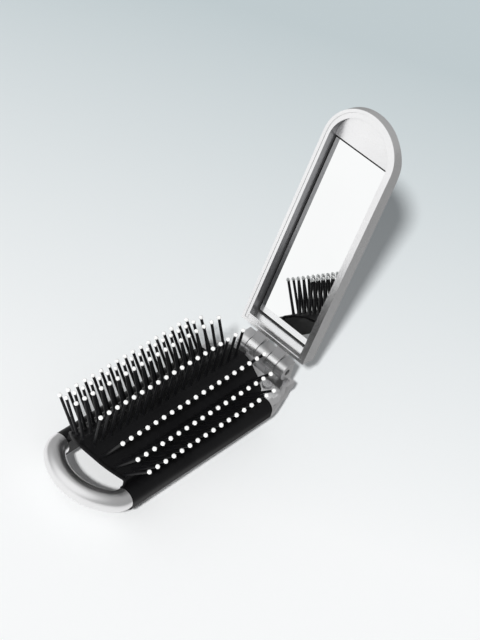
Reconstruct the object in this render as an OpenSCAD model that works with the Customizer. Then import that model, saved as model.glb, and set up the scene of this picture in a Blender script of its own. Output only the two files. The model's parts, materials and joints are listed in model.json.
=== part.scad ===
// Folding hairbrush with mirror, open as photographed.
// X runs along the brush towards the hinge, Y across it and Z up, in millimetres.
// The origin is on the flat underside, below the middle of the bristle field.

/* [Bristle field] */
// Distance between neighbouring pins in a row
pin_pitch = 3.5; // [3.2:0.1:3.7]
// Pins in each of the three middle rows
long_row_pins = 19; // [15:1:19]
// Length of a pin from the pad to the middle of its ball
pin_length = 12; // [9:0.5:12]
// Width of a pin across its flats
pin_width = 0.95; // [0.7:0.05:1.05]
// Diameter of the ball on a pin
tip_diameter = 1.5; // [1.3:0.1:1.7]
// Diameter of the cone at the foot of a pin
root_diameter = 1.4; // [1.2:0.1:1.5]
// Height of the cone at the foot of a pin
root_height = 1; // [0.6:0.1:1.4]
// Width of the thick strip that carries a row of pins
strip_width = 1.6; // [1.5:0.1:1.9]

/* [Pad] */
// Thickness of the rubber sheet
sheet_thickness = 0.8; // [0.6:0.1:0.9]
// Distance from the frame's outer edge in to the foot of the pad
pad_foot_inset = 5.15; // [4.9:0.05:5.2]
// Height of the raised pad above its feet
pad_rise = 10; // [9.5:0.25:11]
// Radius of the tight turn from the pad's flank down to its foot
foot_turn_radius = 1.76; // [1.5:0.02:2.2]
// Outward lean of the inner rows
inner_lean = 27.4; // [25:0.2:29]
// Outward lean of the outer rows
outer_lean = 42.8; // [41:0.2:44]
// Distance along the sheet from an inner row to a middle row
middle_row_step = 4.5; // [4.2:0.1:4.6]
// Distance along the sheet from a middle row to an outer row
outer_row_step = 3.55; // [3.3:0.05:3.6]
// Room between the end pins and the loop end of the pad, on the middle line
loop_end_margin = 3.9; // [3:0.1:4.2]
// Room between the end pins and the hinge end of the pad, on the middle line
hinge_end_margin = 3.7; // [3:0.1:4]
// How far the pad's loop end bulges beyond its feet
loop_end_bulge = 6.3; // [5:0.1:6.5]
// How far the pad's hinge end bulges beyond its feet
hinge_end_bulge = 1.8; // [1:0.1:2.5]

/* [Frame] */
// Thickness of the side rails and of the loop tube
rail_height = 6.6; // [6.2:0.1:7]
// Half width of the frame over the rails
frame_half_width = 17; // [16.6:0.1:17.6]
// Length of the loop beyond the rails, from the tube's middle line
loop_reach = 9.2; // [8.5:0.1:11]
// Wall of the hinge block's sides
block_wall = 1.6; // [1.4:0.1:2]
// Distance from the rail's end to the hinge axis
hinge_block_length = 14.3; // [14:0.1:15.2]
// Half width of the hinge block at its end
block_end_half_width = 12; // [11.8:0.1:12.4]
// Height of the hinge block's sides at its end, above the back cover
block_end_height = 2.6; // [2.4:0.1:4]

/* [Back cover] */
// Depth of the back cover below the frame
cover_depth = 6; // [6:0.1:7]
// Wall of the back cover
cover_wall = 1.2; // [1:0.1:1.2]
// Half width of the back cover
cover_half_width = 12.6; // [12.5:0.1:13]
// Radius of the back cover's lower edges
cover_edge_radius = 3; // [2.5:0.1:3]
// Where the back cover starts, before the middle of the bristle field
cover_start = 16; // [12:0.5:17]

/* [Hinge] */
// Diameter of the hinge barrel
barrel_diameter = 6; // [5.8:0.1:6.2]
// Diameter of the hinge pin
hinge_pin_diameter = 2.2; // [2:0.1:2.4]
// Half length of the barrel
barrel_half_length = 9.9; // [9.8:0.1:10.3]
// Length of each of the lid's two knuckles
lid_knuckle_length = 3.8; // [3.6:0.1:4]
// Length of the middle knuckle of the frame
middle_knuckle_length = 4.4; // [4.2:0.1:4.8]
// How far a cam lobe reaches from the hinge axis
lobe_reach = 5.3; // [5:0.1:5.4]
// Direction of the cam lobes from the hinge, below the level
lobe_droop = 17; // [14:1:20]
// Depth of the hinge axis behind the lid's rim, negative in front of it
axis_above_rim = -0.1; // [-0.3:0.1:0.3]

/* [Lid] */
// Angle between the open lid and the level
lid_angle = 78.1; // [70:0.1:85]
// Distance from the hinge axis to the lid's tip
lid_length = 92.8; // [92.4:0.1:93.4]
// Half width of the lid
lid_half_width = 13.5; // [13.4:0.1:14]
// Depth of the lid
lid_depth = 8; // [7.6:0.1:9]
// Distance from the hinge axis to the lid's lower end
lid_start = 5.9; // [5.7:0.1:6.2]
// Radius of the lid's back edges
lid_edge_radius = 2.5; // [2:0.1:3]
// Wall of the lid's shell
lid_wall = 1.1; // [1:0.1:1.2]
// Width of the bead beside the mirror opening, with the shell's wall
rim_width = 2.2; // [2.1:0.1:2.3]
// Width of the bead at the lid's tip, with the shell's wall
tip_rim_width = 3; // [2.6:0.1:3.4]
// Depth of the mirror's face below the rim
mirror_recess = 4.4; // [4.4:0.1:4.8]
// Thickness of the mirror glass
mirror_thickness = 1.2; // [1:0.1:1.3]
// Length of the plate between the mirror and the lid's tip
tip_plate_length = 11.9; // [11:0.1:13]
// Height of the strip between the mirror and the hinge, with its rim
lower_strip_height = 3.2; // [3:0.1:3.4]
// Thickness of the adhesive pad behind the mirror
tape_thickness = 0.4; // [0.3:0.1:0.5]

/* [Lift arm] */
// Thickness of the lift arm
arm_thickness = 1.2; // [1:0.1:1.2]
// Width of the lift arm where it leaves the hinge block
arm_width = 5.2; // [4.6:0.1:5.6]
// Width of the lift arm at its tip
arm_tip_width = 3.2; // [3:0.1:3.4]
// Width of the cam plate of the lift arm
cam_plate_width = 11; // [10.6:0.1:11.4]
// Diameter of the lift arm's pivot pin
arm_pin_diameter = 1.6; // [1.4:0.1:1.8]

/* [Clearances] */
// Radial clearance of a pin in its bore
pin_clearance = 0.05; // [0.03:0.01:0.08]
// Gap between parts that are fastened together
seat_gap = 0.05; // [0.03:0.01:0.1]
// Gap between parts that move past each other
run_gap = 0.25; // [0.2:0.05:0.3]

/* [Hidden] */
$fn = 48;
EPS = 0.01;
row_names = ["far_outer", "far_middle", "far_inner", "centre", "near_inner", "near_middle", "near_outer"];

// Colours of the satin silver mouldings, the rubber, the pin balls and the rest
silver = [0.76, 0.77, 0.78];
bright_silver = [0.86, 0.87, 0.88];
steel = [0.62, 0.63, 0.65];
rubber_black = [0.05, 0.05, 0.055];
ivory = [0.96, 0.95, 0.92];
glass = [0.8, 0.86, 0.88];
tape_grey = [0.35, 0.35, 0.36];

// Levels and places that follow from the sizes above
half_field = pin_pitch * (long_row_pins - 1) / 2;
tube_radius = rail_height / 2;
rail_mid = cover_depth + tube_radius;
rail_top = cover_depth + rail_height;
rail_y = frame_half_width - tube_radius;
rail_low_radius = 1.6;
pad_half_width = frame_half_width - pad_foot_inset;
rail_inner_y = pad_half_width + seat_gap;
foot_z = rail_mid + sqrt(tube_radius * tube_radius - pow(rail_y - pad_half_width, 2));
crown_z = foot_z + pad_rise;
rail_start = -half_field - loop_end_margin + loop_end_bulge;
pad_hinge_end = half_field + hinge_end_margin;
rail_end = pad_hinge_end - 0.4;
rail_root = 0.5;
slot_gap = 0.05;
strip_overhang = 1.6;
tip_foot = 0.65 * tip_diameter / 2;

// Hinge block
axis_x = rail_end + hinge_block_length;
rim_gap = 0.4;
axis_z = rail_top + rim_gap + axis_above_rim;
barrel_radius = barrel_diameter / 2;
hinge_bore = hinge_pin_diameter / 2 + pin_clearance;
pin_recess = 0.8;
lid_knuckle_start = middle_knuckle_length / 2 + run_gap;
lid_knuckle_end = lid_knuckle_start + lid_knuckle_length;
end_knuckle_start = lid_knuckle_end + run_gap;
block_end = axis_x + barrel_radius;
end_wall_start = axis_x - 0.8;
end_wall_top = axis_z - lobe_reach - 0.5;
block_floor_top = cover_depth + 1.2;
block_front = rail_end + 2;
slope_start = rail_end + 4;
deck_top = rail_mid + 0.4;
deck_thickness = 1.2;
deck_half_gap = cam_plate_width / 2 + 0.4;
pocket_wall = 0.9;
pocket_reach = [-3.4, 1.9];
pocket_floor = cover_depth + 1.2;

// Screws and the lift arm with its pivot
screw_x = axis_x - 6.8;
screw_y = deck_half_gap + 2.1;
screw_head_radius = 1.7;
screw_head_height = 0.6;
screw_shank_radius = 0.8;
screw_length = 5.5;
post_radius = 1.9;
arm_axis_x = axis_x - 2.8;
arm_axis_z = cover_depth - 1;
arm_bore = arm_pin_diameter / 2 + pin_clearance;
arm_hub_radius = 1.6;
arm_tip_inset = 5;
arm_tip_x = -half_field + arm_tip_inset;
arm_tip_top = crown_z - sheet_thickness - run_gap;
arm_knee_inset = [2.2, 0.6];
arm_knee = [pad_hinge_end - arm_knee_inset[0], cover_depth + arm_knee_inset[1]];
arm_taper_start = 6;
upright_reach = 7.4;
lobe_gap = 0.4;
cam_plate_length = 8.1;
cam_plate_drop = [1.1, 1];
ear_thickness = 1.2;
ear_start = cam_plate_width / 2 + 0.3;

// Lid, measured up from the hinge axis and back from the rim
lid_tip_x = lid_length - lid_half_width;
opening_half = lid_half_width - rim_width;
opening_tip_x = lid_length - tip_rim_width - opening_half;
liner_step = 0.15;
mirror_start = lid_start + lower_strip_height;
mirror_end = lid_length - tip_rim_width - tip_plate_length;
mirror_length = mirror_end - mirror_start;
tape_back = mirror_recess + mirror_thickness + tape_thickness;
strip_back = min(tape_back, lid_depth - lid_edge_radius) - seat_gap;
lobe_nose = 1.2;
lobe_angle = lid_angle + 180 - lobe_droop;

// The arch of the raised pad: a crown, a flatter flank and a tight turn down to the foot
flank_arc = middle_row_step + outer_row_step;
flank_radius = flank_arc / ((outer_lean - inner_lean) * PI / 180);
shoulder_run = 0.6;
foot_lean = 88;
turn_width = foot_turn_radius * (sin(foot_lean) - sin(outer_lean));
flank_width = flank_radius * (sin(outer_lean) - sin(inner_lean)) + shoulder_run * cos(outer_lean);
crown_radius = (pad_half_width - turn_width - flank_width) / sin(inner_lean);
crown_arc = crown_radius * inner_lean * PI / 180;
flank_end = [
    crown_radius * sin(inner_lean) + flank_radius * (sin(outer_lean) - sin(inner_lean)),
    -crown_radius * (1 - cos(inner_lean)) - flank_radius * (cos(inner_lean) - cos(outer_lean))
];
shoulder = flank_end + shoulder_run * [cos(outer_lean), -sin(outer_lean)];

// Place on the pad's outer face at a distance s along it from the crown: [y, z, lean]
function pad_place(s) =
    let (side = sign(s), run = abs(s))
    run <= crown_arc
        ? let (a = run / crown_radius * 180 / PI)
          [side * crown_radius * sin(a), crown_z - crown_radius * (1 - cos(a)), side * a]
        : let (a = inner_lean + (run - crown_arc) / flank_radius * 180 / PI)
          [
              side * (crown_radius * sin(inner_lean) + flank_radius * (sin(a) - sin(inner_lean))),
              crown_z - crown_radius * (1 - cos(inner_lean)) - flank_radius * (cos(inner_lean) - cos(a)),
              side * a
          ];

// Half of the pad's section from the crown to the foot, depth below its outer face
function pad_half_section(depth) = concat(
    [for (a = [0 : inner_lean / 6 : inner_lean - EPS])
        [(crown_radius - depth) * sin(a), crown_z - crown_radius + (crown_radius - depth) * cos(a)]],
    [for (i = [0 : 5])
        let (a = inner_lean + (outer_lean - inner_lean) * i / 5, p = pad_place(crown_arc + flank_arc * i / 5))
        [p[0] - depth * sin(a), p[1] - depth * cos(a)]],
    [for (i = [0 : 6])
        let (a = outer_lean + (foot_lean - outer_lean) * i / 6)
        [
            shoulder[0] + foot_turn_radius * (sin(a) - sin(outer_lean)) - depth * sin(a),
            crown_z + shoulder[1] - foot_turn_radius * (cos(outer_lean) - cos(a)) - depth * cos(a)
        ]],
    [[pad_half_width - depth, foot_z]]
);

// Rows from the far side to the near side: distance along the sheet and number of pins
row_run = [
    crown_arc + middle_row_step + outer_row_step,
    crown_arc + middle_row_step,
    crown_arc,
    0,
    -crown_arc,
    -crown_arc - middle_row_step,
    -crown_arc - middle_row_step - outer_row_step
];
row_pins = [for (i = [0 : 6]) long_row_pins - max(0, abs(i - 3) - 1)];
function row_half_length(i) = pin_pitch * (row_pins[i] - 1) / 2;

// Turns a YZ section so that it runs along X
module along_x(from, to) {
    translate([from, 0, 0]) rotate([90, 0, 90]) linear_extrude(to - from) children();
}

// Turns an XZ profile so that it runs along Y
module along_y(from, to) {
    translate([0, to, 0]) rotate([90, 0, 0]) linear_extrude(to - from) children();
}

module cylinder_y(x, z, radius, from, to) {
    translate([x, to, z]) rotate([90, 0, 0]) cylinder(r = radius, h = to - from);
}

// Places what is drawn with X up the lid and Z from its rim to its back
module on_lid() {
    translate([axis_x, 0, axis_z]) rotate([0, -lid_angle, 0]) mirror([0, 0, 1])
        translate([0, 0, -axis_above_rim]) children();
}

module both_sides() {
    children();
    mirror([0, 1, 0]) children();
}

module both_sides_2d() {
    children();
    mirror([1, 0]) children();
}

// Mirrors the points of one half outline and closes the outline
module symmetric_polygon(half_points) {
    last = len(half_points) - 1;
    polygon(concat(half_points, [for (i = [last : -1 : 0]) [half_points[i][0], -half_points[i][1]]]));
}

// ---- Frame: loop, rails, hinge block and knuckles ----

// Section of the far rail: round outside and cut off at its inner side
module rail_section(inset, inner) {
    low = rail_low_radius - inset;
    bottom = cover_depth + inset;
    outer = frame_half_width - inset;
    intersection() {
        union() {
            translate([rail_y, rail_mid]) circle(tube_radius - inset);
            translate([inner, bottom]) square([rail_y - inner, foot_z - inset - bottom]);
            translate([rail_y, bottom]) square([outer - low - rail_y, low]);
            translate([rail_y, bottom + low]) square([outer - rail_y, rail_mid - bottom - low]);
            translate([outer - low, bottom + low]) circle(low);
        }
        translate([inner, 0]) square(frame_half_width + rail_height);
    }
}

// The loop is three arcs of round tube, tight at the sides and flatter at its end
module loop_tube() {
    turn = 50;
    rest = (1 - sin(turn)) / cos(turn);
    side_radius = (loop_reach - rail_y * rest) / (sin(turn) - (1 - cos(turn)) * rest);
    end_radius = (rail_y - side_radius * (1 - cos(turn))) / cos(turn);
    seam = [side_radius * sin(turn), side_radius * (1 - cos(turn))];
    seam_length = 0.4;
    both_sides() translate([rail_start, rail_y - side_radius, rail_mid]) rotate([0, 0, 90])
        rotate_extrude(angle = turn) translate([side_radius, 0]) circle(tube_radius);
    translate([rail_start - loop_reach + end_radius, 0, rail_mid]) rotate([0, 0, 90 + turn])
        rotate_extrude(angle = 180 - 2 * turn) translate([end_radius, 0]) circle(tube_radius);
    both_sides() {
        translate([rail_start - seam[0], rail_y - seam[1], rail_mid]) rotate([0, 0, turn])
            rotate([0, 90, 0]) cylinder(r = 0.98 * tube_radius, h = seam_length, center = true);
        translate([rail_start, rail_y, rail_mid]) rotate([0, 90, 0])
            cylinder(r = rail_y - rail_inner_y, h = seam_length, center = true);
    }
}

// Plan of the hinge block, from the rails' width to the barrel's
module block_plan(inset) {
    half = frame_half_width - inset;
    end_half = block_end_half_width - inset;
    symmetric_polygon([
        [rail_end, half], [rail_end + 0.25 * hinge_block_length, half - 0.9],
        [rail_end + 0.6 * hinge_block_length, (half + end_half) / 2],
        [rail_end + 0.85 * hinge_block_length, end_half + 0.3], [block_end, end_half]
    ]);
}

// Plan of the back cover, narrower where it meets the end of the hinge block
module cover_plan(inset) {
    half = cover_half_width - inset;
    end_half = block_end_half_width - 0.8 - inset;
    symmetric_polygon([
        [-cover_start - inset, half], [rail_end + 0.7 * hinge_block_length, half],
        [rail_end + 0.9 * hinge_block_length, end_half], [block_end - 0.2 - inset, end_half]
    ]);
}

module block_form() {
    height = block_end_height;
    intersection() {
        translate([0, 0, cover_depth]) linear_extrude(rail_height) block_plan(0);
        along_x(rail_end, block_end) {
            both_sides_2d() rail_section(0, 0);
            translate([-1, cover_depth]) square([2, foot_z - cover_depth]);
        }
        along_y(-frame_half_width, frame_half_width) polygon([
            [rail_end, cover_depth], [block_end, cover_depth], [block_end, cover_depth + height],
            [end_wall_start, cover_depth + height + 0.4], [slope_start, rail_top], [rail_end, rail_top]
        ]);
    }
}

module block_room() {
    translate([0, 0, block_floor_top]) intersection() {
        linear_extrude(rail_height) block_plan(block_wall);
        translate([block_front, -frame_half_width])
            cube([end_wall_start - block_front, 2 * frame_half_width, rail_height]);
    }
    translate([0, 0, cover_depth - 1]) intersection() {
        linear_extrude(rail_height) cover_plan(cover_wall);
        translate([rail_end - 1, -frame_half_width])
            cube([end_wall_start - rail_end + 1, 2 * frame_half_width, rail_height]);
    }
    translate([rail_end - 1, -rail_inner_y, cover_depth - 1])
        cube([block_front - rail_end + 2, 2 * rail_inner_y, rail_height + 2]);
    translate([end_wall_start - EPS, -end_knuckle_start, end_wall_top])
        cube([block_end - end_wall_start + 1, 2 * end_knuckle_start, rail_height]);
}

// Side decks for the screws, with the lift arm's gap between them
module block_decks() {
    both_sides() translate([0, 0, deck_top - deck_thickness]) intersection() {
        linear_extrude(deck_thickness) block_plan(block_wall - EPS);
        translate([block_front + 1.5, deck_half_gap])
            cube([end_wall_start - block_front - 5.5, frame_half_width, deck_thickness]);
    }
}

// A knuckle, square at its upper rear, and the neck that stands it on the hinge block's end
module frame_knuckle(from, to) {
    cylinder_y(axis_x, axis_z, barrel_radius, from, to);
    along_y(from, to) {
        translate([end_wall_start, end_wall_top - 1])
            square([block_end - end_wall_start, axis_z - end_wall_top + 1]);
        translate([axis_x, axis_z]) square(barrel_radius);
    }
}

// Pockets beside the outer knuckles, inside the hinge block's side walls
module end_pockets() {
    width = block_end_half_width - pocket_wall - barrel_half_length;
    both_sides() translate([axis_x + pocket_reach[0], barrel_half_length, pocket_floor])
        cube([pocket_reach[1] - pocket_reach[0], width, rail_height]);
}

module base_frame() {
    color(silver) difference() {
        union() {
            loop_tube();
            along_x(rail_start, rail_end + rail_root) both_sides_2d()
                rail_section(sheet_thickness + seat_gap, rail_inner_y);
            difference() {
                block_form();
                block_room();
            }
            block_decks();
            frame_knuckle(-middle_knuckle_length / 2, middle_knuckle_length / 2);
            both_sides() frame_knuckle(end_knuckle_start, barrel_half_length);
        }
        cylinder_y(axis_x, axis_z, hinge_bore, -barrel_half_length - 1, barrel_half_length + 1);
        both_sides() translate([screw_x, screw_y, 0])
            cylinder(r = screw_shank_radius + 0.2, h = rail_top);
        end_pockets();
    }
}

// ---- Back cover with its screw posts and the ears of the lift arm ----

// Section of the cover: a tray with rounded lower edges
module tray_section(half, floor_z, radius, top) {
    translate([-half, floor_z + radius]) square([2 * half, top - floor_z - radius]);
    translate([-half + radius, floor_z]) square([2 * (half - radius), radius]);
    both_sides_2d() translate([half - radius, floor_z + radius]) circle(radius);
}

module cover_tray() {
    slant = 5;
    difference() {
        intersection() {
            along_x(-cover_start, block_end) tray_section(cover_half_width, 0, cover_edge_radius, cover_depth);
            translate([0, 0, -1]) linear_extrude(cover_depth + 2) cover_plan(0);
        }
        intersection() {
            along_x(-cover_start - 1, block_end) tray_section(
                cover_half_width - cover_wall, cover_wall, cover_edge_radius - cover_wall, cover_depth + 1
            );
            translate([0, 0, -1]) linear_extrude(cover_depth + 3) cover_plan(cover_wall);
        }
        along_y(-frame_half_width, frame_half_width) polygon([
            [-cover_start - 1, cover_wall], [-cover_start, cover_wall],
            [-cover_start + slant, cover_depth + 1], [-cover_start - 1, cover_depth + 1]
        ]);
    }
}

module arm_ear() {
    foot = 2;
    along_y(ear_start, ear_start + ear_thickness) {
        translate([arm_axis_x - foot, cover_wall - EPS]) square([2 * foot, arm_axis_z - cover_wall]);
        translate([arm_axis_x, arm_axis_z]) circle(foot);
    }
}

module back_cover() {
    color(silver) difference() {
        union() {
            cover_tray();
            both_sides() translate([screw_x, screw_y, cover_wall - EPS])
                cylinder(r = post_radius, h = deck_top - deck_thickness - cover_wall + EPS);
            both_sides() arm_ear();
        }
        both_sides() translate([screw_x, screw_y, deck_top - screw_length - 0.5])
            cylinder(r = screw_shank_radius + seat_gap, h = screw_length);
        cylinder_y(arm_axis_x, arm_axis_z, arm_bore, -cover_half_width, cover_half_width);
    }
}

module cover_screws() {
    color(steel) both_sides() translate([screw_x, screw_y, 0]) {
        translate([0, 0, deck_top]) cylinder(r = screw_head_radius, h = screw_head_height);
        translate([0, 0, deck_top - screw_length]) cylinder(r = screw_shank_radius, h = screw_length);
    }
}

// ---- Rubber sheet ----

// The sheet's edge, folded round a rail
module sheet_edge() {
    along_x(rail_start, rail_end) difference() {
        rail_section(0, pad_half_width - sheet_thickness);
        rail_section(sheet_thickness, pad_half_width);
    }
}

module sheet_edge_far() {
    color(rubber_black) sheet_edge();
}

module sheet_edge_near() {
    color(rubber_black) mirror([0, 1, 0]) sheet_edge();
}

module row_slot(i) {
    half = row_half_length(i) + strip_overhang + slot_gap;
    translate([-half, -strip_width / 2 - slot_gap, -2 * sheet_thickness])
        cube([2 * half, strip_width + 2 * slot_gap, 3 * sheet_thickness]);
}

module at_row(i) {
    place = pad_place(row_run[i]);
    translate([0, place[0], place[1]]) rotate([-place[2], 0, 0]) children();
}

module bristle_sheet() {
    steps = 12;
    outer = pad_half_section(0);
    inner = pad_half_section(sheet_thickness);
    last = len(outer) - 1;
    section = concat(
        [for (i = [last : -1 : 1]) [-outer[i][0], outer[i][1]]], outer,
        [for (i = [last : -1 : 0]) inner[i]], [for (i = [1 : last]) [-inner[i][0], inner[i][1]]]
    );
    function end_x(x, bulge, y) = x + bulge * pow(y / pad_half_width, 2);
    color(rubber_black) difference() {
        intersection() {
            along_x(-half_field - pad_rise, half_field + pad_rise) polygon(section);
            linear_extrude(crown_z + 1) polygon(concat(
                [for (i = [-steps : steps]) let (y = pad_half_width * i / steps)
                    [end_x(-half_field - loop_end_margin, loop_end_bulge, y), y]],
                [for (i = [steps : -1 : -steps]) let (y = pad_half_width * i / steps)
                    [end_x(pad_hinge_end, -hinge_end_bulge, y), y]]
            ));
        }
        for (i = [0 : len(row_names) - 1]) at_row(i) row_slot(i);
    }
}

// ---- Rows of pins ----

module row(i) {
    half = row_half_length(i);
    color(rubber_black) at_row(i) {
        translate([-half - strip_overhang, -strip_width / 2, -sheet_thickness])
            cube([2 * (half + strip_overhang), strip_width, sheet_thickness]);
        for (n = [0 : row_pins[i] - 1]) translate([-half + n * pin_pitch, 0, -EPS]) {
            cylinder(d1 = root_diameter, d2 = pin_width, h = root_height + EPS);
            translate([-pin_width / 2, -pin_width / 2, 0])
                cube([pin_width, pin_width, pin_length - tip_foot + EPS]);
        }
    }
}

// Balls on the pins, each with a flat where it sits on its pin
module tips(i) {
    color(ivory) at_row(i) for (n = [0 : row_pins[i] - 1])
        translate([-row_half_length(i) + n * pin_pitch, 0, pin_length]) difference() {
            sphere(d = tip_diameter);
            translate([-tip_diameter / 2, -tip_diameter / 2, -tip_foot - tip_diameter])
                cube(tip_diameter);
        }
}

// ---- Lift arm and pins ----

// The arm from the side: hub, lower plate, bar under the pad, upright and cam plate
module lift_arm() {
    rise = (arm_tip_top - arm_knee[1]) / (arm_knee[0] - arm_tip_x);
    half = arm_width / 2;
    tip_half = arm_tip_width / 2;
    plate_half = cam_plate_width / 2;
    plate_back = axis_x - lobe_reach - lobe_gap;
    plate_front = plate_back - cam_plate_length;
    plate_top = axis_z - cam_plate_drop[0];
    front_top = plate_top - cam_plate_drop[1];
    upright_x = axis_x - upright_reach;
    color(silver) difference() {
        union() {
            cylinder_y(arm_axis_x, arm_axis_z, arm_hub_radius, -plate_half, plate_half);
            along_y(-plate_half, plate_half) {
                polygon([
                    [upright_x, arm_axis_z], [arm_axis_x, arm_axis_z - arm_thickness / 2],
                    [arm_axis_x, arm_axis_z + arm_thickness / 2], [upright_x, arm_knee[1]]
                ]);
                translate([upright_x, arm_axis_z])
                    square([arm_thickness, plate_top - arm_axis_z - arm_thickness / 2]);
                polygon([
                    [plate_front, front_top], [plate_back, plate_top],
                    [plate_back, plate_top - arm_thickness], [plate_front, front_top - arm_thickness]
                ]);
            }
            intersection() {
                along_y(-half, half) polygon([
                    [arm_tip_x, arm_tip_top], arm_knee, [upright_x + EPS, arm_knee[1]],
                    [upright_x + EPS, arm_axis_z], [arm_knee[0], arm_knee[1] - arm_thickness],
                    [arm_tip_x, arm_tip_top - arm_thickness * sqrt(1 + rise * rise)]
                ]);
                linear_extrude(crown_z) symmetric_polygon([
                    [arm_tip_x, tip_half], [arm_knee[0] - arm_taper_start, half], [axis_x, half]
                ]);
            }
        }
        cylinder_y(arm_axis_x, arm_axis_z, arm_bore, -cover_half_width, cover_half_width);
    }
}

module arm_pin() {
    reach = ear_start + ear_thickness;
    color(steel) cylinder_y(arm_axis_x, arm_axis_z, arm_pin_diameter / 2, -reach, reach);
}

module hinge_pin() {
    reach = barrel_half_length - pin_recess;
    color(steel) cylinder_y(axis_x, axis_z, hinge_pin_diameter / 2, -reach, reach);
}

// ---- Lid ----

// Half of a flat form's section, with a rounded back edge
module edge_profile(half, depth, radius) {
    intersection() {
        union() {
            square([half, depth - radius]);
            square([half - radius, depth]);
            translate([half - radius, depth - radius]) circle(radius);
        }
        square([half, depth]);
    }
}

// The lid's outline, drawn in by an inset, between two depths: round at the tip, square at the hinge
module lid_form(inset, from_z, to_z) {
    half = lid_half_width - inset;
    radius = lid_edge_radius - inset;
    depth = to_z - from_z;
    translate([0, 0, from_z]) {
        translate([lid_tip_x, 0, 0]) rotate([0, 0, -90]) rotate_extrude(angle = 180)
            edge_profile(half, depth, radius);
        intersection() {
            along_x(lid_start + inset, lid_tip_x) both_sides_2d() edge_profile(half, depth, radius);
            along_y(-half, half) translate([lid_length, 0]) mirror([1, 0])
                edge_profile(lid_length - lid_start - inset, depth, radius);
        }
    }
}

module lid_knuckle_profile() {
    side = acos((barrel_radius - lobe_nose) / (lobe_reach - lobe_nose));
    circle(barrel_radius);
    rotate(-lobe_angle) {
        translate([lobe_reach - lobe_nose, 0]) circle(lobe_nose);
        polygon([
            barrel_radius * [cos(side), sin(side)],
            [lobe_reach - lobe_nose + lobe_nose * cos(side), lobe_nose * sin(side)],
            [lobe_reach - lobe_nose + lobe_nose * cos(side), -lobe_nose * sin(side)],
            barrel_radius * [cos(side), -sin(side)], [0, 0]
        ]);
    }
}

// Barrel knuckle with its cam lobe and the flat tab that joins it to the lid
module lid_knuckle() {
    tab_root = lid_start + lid_wall / 2;
    tab_front = 1.2;
    tab_back = lid_depth / 2;
    along_y(lid_knuckle_start, lid_knuckle_end) {
        translate([0, axis_above_rim]) lid_knuckle_profile();
        polygon([
            [0, axis_above_rim - barrel_radius], [tab_root, tab_front], [tab_root, tab_back],
            [0, axis_above_rim + barrel_radius]
        ]);
    }
}

module lid_shell() {
    color(bright_silver) on_lid() difference() {
        union() {
            difference() {
                lid_form(0, 0, lid_depth);
                lid_form(lid_wall, -1, lid_depth - lid_wall);
            }
            both_sides() lid_knuckle();
        }
        cylinder_y(0, axis_above_rim, hinge_bore, -barrel_half_length, barrel_half_length);
    }
}

// Outline of the mirror opening, open towards the hinge
module opening_plan(inset, start) {
    half = opening_half - inset;
    intersection() {
        union() {
            translate([0, -half]) square([opening_tip_x, 2 * half]);
            translate([opening_tip_x, 0]) circle(half);
        }
        translate([start, -lid_half_width]) square([lid_length, 2 * lid_half_width]);
    }
}

module lid_liner() {
    inset = lid_wall + seat_gap;
    color(bright_silver) on_lid() difference() {
        lid_form(inset, liner_step, lid_depth - inset);
        translate([0, 0, -1]) linear_extrude(tape_back + 1) opening_plan(0, 0);
    }
}

module mirror_glass() {
    color(glass) on_lid() translate([mirror_start, -opening_half + 0.1, mirror_recess])
        cube([mirror_length, 2 * opening_half - 0.2, mirror_thickness]);
}

module mirror_tape() {
    edge = 1;
    color(tape_grey) on_lid()
        translate([mirror_start + edge, -opening_half + edge, mirror_recess + mirror_thickness])
            cube([mirror_length - 2 * edge, 2 * (opening_half - edge), tape_thickness]);
}

module tip_plate() {
    color(bright_silver) on_lid() translate([0, 0, mirror_recess])
        linear_extrude(tape_back - mirror_recess) opening_plan(seat_gap, mirror_end + seat_gap);
}

// Strip between the mirror and the hinge, sloping from the rim down to the glass
module lower_strip() {
    start = lid_start + lid_wall + seat_gap;
    end = mirror_start - seat_gap;
    half = opening_half - seat_gap;
    color(bright_silver) on_lid() along_y(-half, half) polygon([
        [start, liner_step], [end - 0.6, liner_step], [end, mirror_recess], [end, strip_back],
        [start, strip_back]
    ]);
}

base_frame();
back_cover();
cover_screws();
sheet_edge_near();
sheet_edge_far();
bristle_sheet();
lift_arm();
arm_pin();
hinge_pin();
for (i = [0 : len(row_names) - 1]) {
    row(i);
    tips(i);
}
lid_shell();
lid_liner();
mirror_glass();  // mirror
mirror_tape();
tip_plate();
lower_strip();
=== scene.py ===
"""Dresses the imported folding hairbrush.

Satin mouldings, the rubber pad with its pins, the hinge and the mirror lid.
"""

from __future__ import annotations

import json
import logging
import math
from dataclasses import dataclass, field
from enum import Enum

import bmesh
import bpy
from mathutils import Matrix, Vector

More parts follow.
